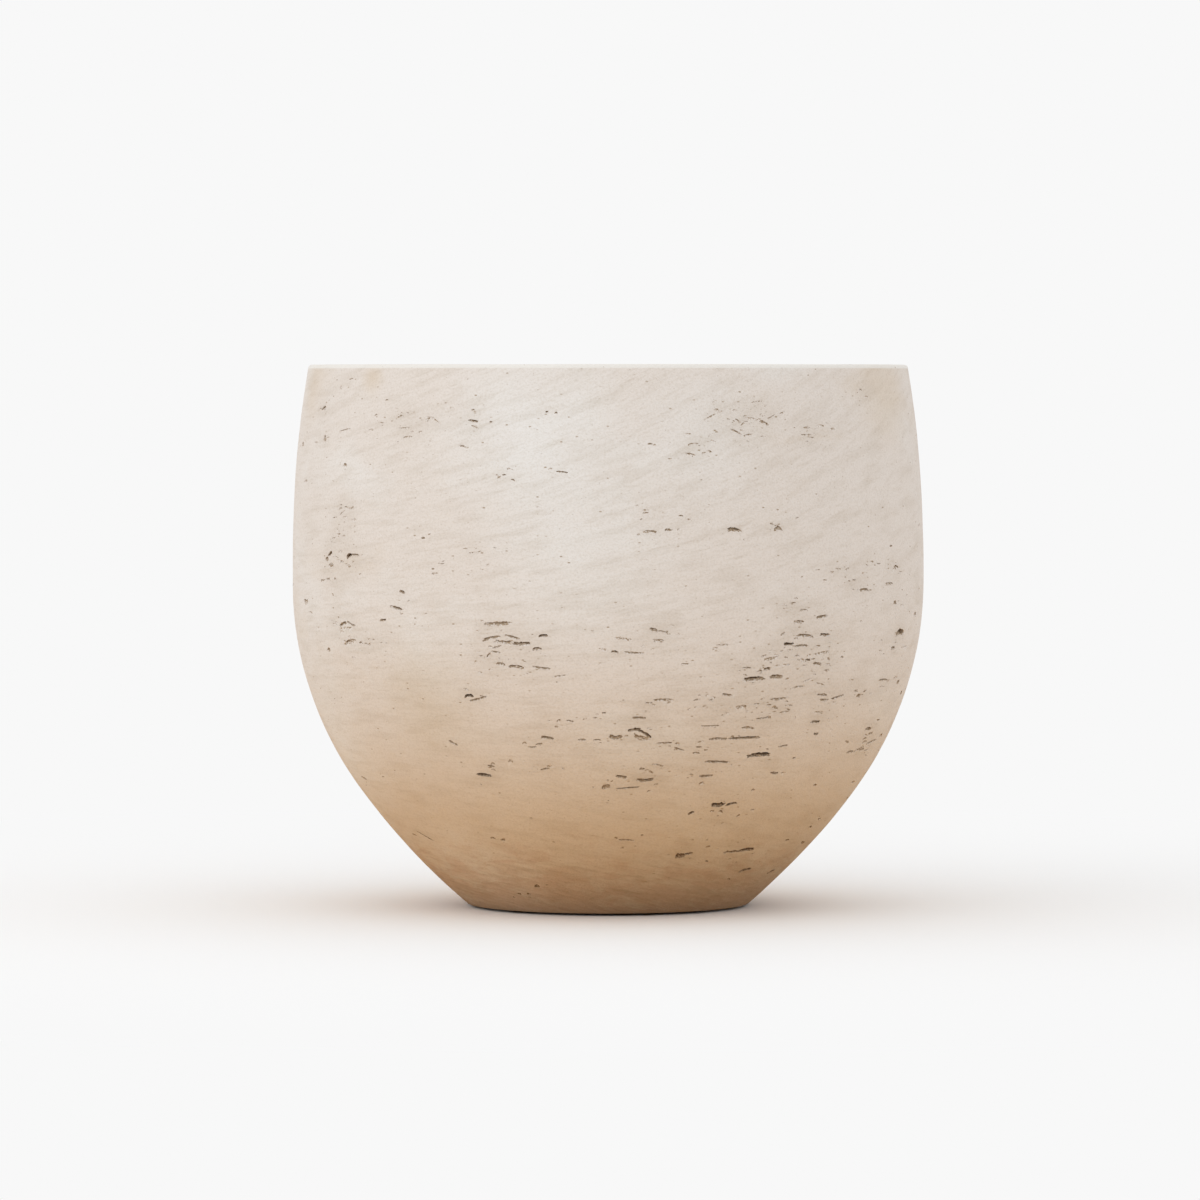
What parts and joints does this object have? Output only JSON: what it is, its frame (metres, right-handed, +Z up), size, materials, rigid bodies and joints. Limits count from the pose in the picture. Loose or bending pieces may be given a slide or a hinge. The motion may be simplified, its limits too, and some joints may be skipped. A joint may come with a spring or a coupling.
{
  "type": "round planter",
  "caption": "Round cast fibre-cement planter with a bellied wall, a narrow flat base on thin pads, and a drain hole closed by a rubber plug that lifts out.",
  "frame": {"origin": "on the planter's upright axis, at the surface that its foot pads stand on", "axes": "+Z up along the planter's axis of symmetry; +X to the right and -Y towards the viewer in the picture"},
  "size_m": [0.3899, 0.39, 0.3345],
  "materials": {
    "fibre_cement": "matte",
    "plug_rubber": "matte",
    "pad_foam": "matte"
  },
  "bodies": {
    "planter": {"planter_shell": "fibre_cement", "foot_pad_1": "pad_foam", "foot_pad_2": "pad_foam", "foot_pad_3": "pad_foam", "foot_pad_4": "pad_foam"},
    "plug": {"drain_plug": "plug_rubber"}
  },
  "joints": [
    {"name": "plug_lift", "type": "slide", "parent": "planter", "child": "plug", "axis": [0, 0, 1], "range_m": [0, 0.345]}
  ]
}
